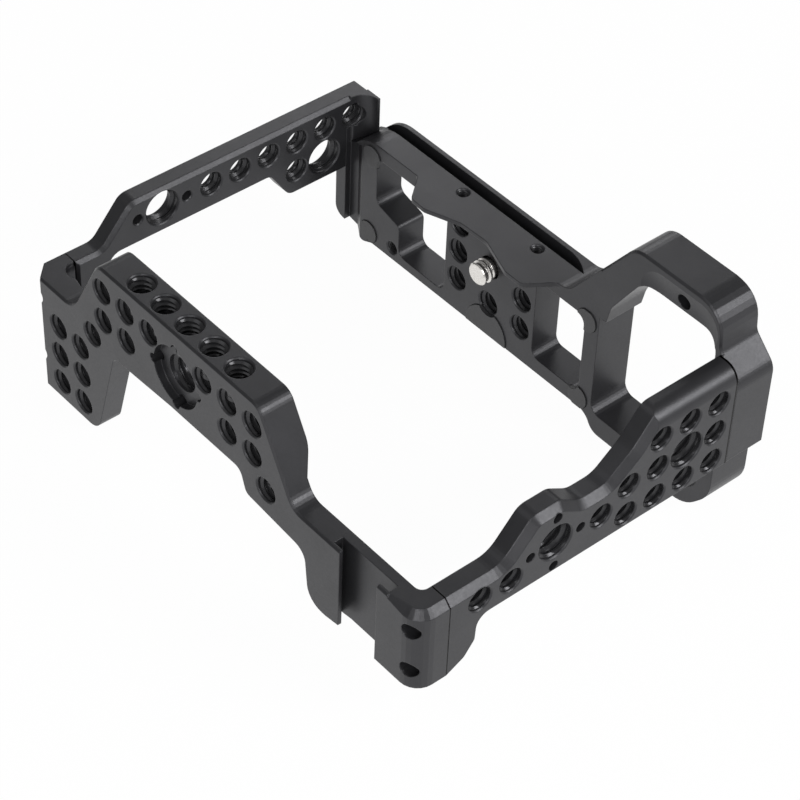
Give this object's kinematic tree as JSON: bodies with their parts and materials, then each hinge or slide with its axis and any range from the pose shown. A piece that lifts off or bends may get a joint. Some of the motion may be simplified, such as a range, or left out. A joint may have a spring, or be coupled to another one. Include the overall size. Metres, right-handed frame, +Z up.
{
  "type": "camera cage",
  "caption": "Rectangular camera cage of four bolted aluminium plates with rows of threaded holes, an accessory shoe, a hand loop and a captive camera screw.",
  "frame": {"origin": "below the middle of the cage's bounding box, on the plane that its lower edges rest on", "axes": "+X along the top plate towards the hand loop, +Y from the top plate to the bottom plate, +Z up, out of the open side, as the cage lies in the picture"},
  "size_m": [0.1432, 0.1058, 0.0636],
  "materials": {
    "anodised_aluminium": "fine bead-blasted black anodised, satin",
    "black_screw": "black oxide",
    "pin_steel": "ground",
    "bright_steel": "bright turned",
    "spring_steel": "plain",
    "washer": "matt",
    "pad": "matt"
  },
  "bodies": {
    "cage": {"top_plate": "anodised_aluminium", "grip_side_plate": "anodised_aluminium", "bottom_plate": "anodised_aluminium", "left_side_plate": "anodised_aluminium", "screw_retaining_ring": "spring_steel", "top_left_corner_screws": "black_screw", "top_grip_corner_screws": "black_screw", "bottom_left_corner_screws": "black_screw", "bottom_grip_corner_screws": "black_screw", "top_left_dowel": "pin_steel", "top_grip_dowel": "pin_steel", "bottom_left_dowel": "pin_steel", "bottom_grip_dowel": "pin_steel", "upper_left_rest_pad": "pad", "lower_left_rest_pad": "pad", "upper_right_rest_pad": "pad", "lower_right_rest_pad": "pad", "lower_edge_rest_pad": "pad"},
    "screw_slip": {"screw_washer": "washer"},
    "screw": {"camera_screw": "bright_steel"}
  },
  "joints": [
    {"name": "camera_screw_travel", "type": "slide", "parent": "cage", "child": "screw_slip", "axis": [0, 1, 0], "range_m": [0, 0.0034]},
    {"name": "camera_screw_turn", "type": "hinge", "parent": "screw_slip", "child": "screw", "pos_m": [-0.0107, 0.04115, 0.0262], "axis": [0, 1, 0], "continuous": true}
  ]
}
